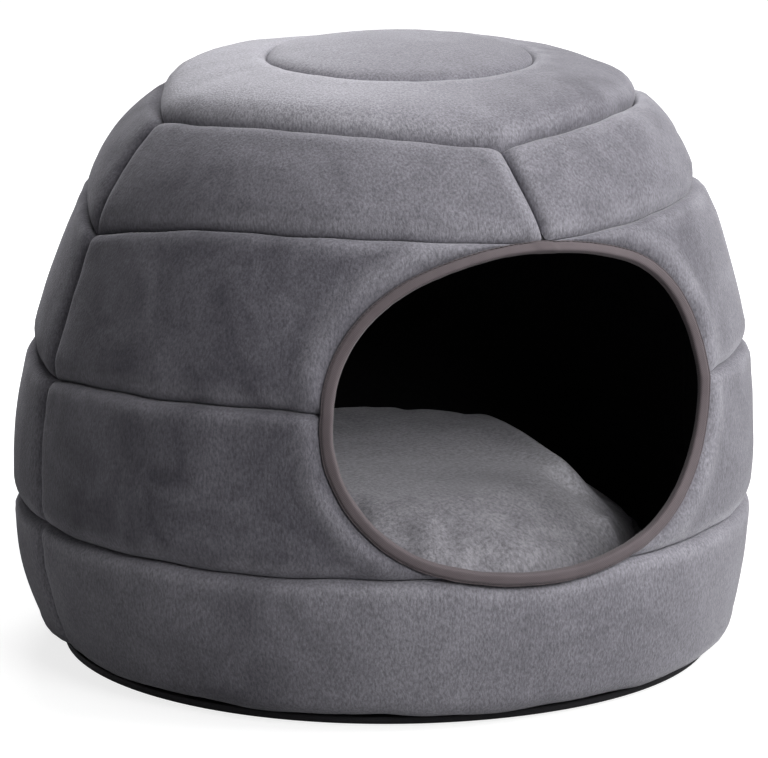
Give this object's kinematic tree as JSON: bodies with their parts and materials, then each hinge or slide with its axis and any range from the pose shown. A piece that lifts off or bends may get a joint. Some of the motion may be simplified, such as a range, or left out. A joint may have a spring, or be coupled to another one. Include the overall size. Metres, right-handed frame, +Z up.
{
  "type": "cat bed",
  "caption": "Domed quilted plush cat bed with a bound oval entrance, a non-slip base and a loose padded cushion inside.",
  "frame": {"origin": "on the ground under the middle of the house", "axes": "+Z up, the entrance faces -Y, +X to the right of someone looking in"},
  "size_m": [0.4754, 0.479, 0.39],
  "materials": {
    "plush": "short-pile grey plush",
    "cushion_plush": "soft grey plush",
    "lining": "dark brushed lining cloth",
    "binding": "taupe woven bias tape",
    "base_cloth": "dark cloth with non-slip dots",
    "foam": "open-cell foam",
    "fibre_fill": "polyester fibre"
  },
  "bodies": {
    "house": {"skirt_front_cover": "plush", "skirt_back_cover": "plush", "lower_front_right_cover": "plush", "lower_back_right_cover": "plush", "lower_back_left_cover": "plush", "lower_front_left_cover": "plush", "upper_front_right_cover": "plush", "upper_back_right_cover": "plush", "upper_back_left_cover": "plush", "upper_front_left_cover": "plush", "shoulder_front_right_cover": "plush", "shoulder_back_right_cover": "plush", "shoulder_back_left_cover": "plush", "shoulder_front_left_cover": "plush", "crown_ring_cover": "plush", "crown_disc_cover": "plush", "skirt_front_foam": "foam", "skirt_back_foam": "foam", "lower_front_right_foam": "foam", "lower_back_right_foam": "foam", "lower_back_left_foam": "foam", "lower_front_left_foam": "foam", "upper_front_right_foam": "foam", "upper_back_right_foam": "foam", "upper_back_left_foam": "foam", "upper_front_left_foam": "foam", "shoulder_front_right_foam": "foam", "shoulder_back_right_foam": "foam", "shoulder_back_left_foam": "foam", "shoulder_front_left_foam": "foam", "crown_ring_foam": "foam", "crown_disc_foam": "foam", "lining_front_right": "lining", "lining_back_right": "lining", "lining_back_left": "lining", "lining_front_left": "lining", "lining_crown": "lining", "lining_floor": "lining", "entrance_binding": "binding", "base_cloth": "base_cloth", "floor_foam": "foam"},
    "cushion": {"cushion_top_cover": "cushion_plush", "cushion_bottom_cover": "cushion_plush", "cushion_fill": "fibre_fill"}
  },
  "joints": [
    {"name": "cushion_lift", "type": "slide", "parent": "house", "child": "cushion", "axis": [0, 0, 1], "range_m": [0, 0.2]}
  ]
}
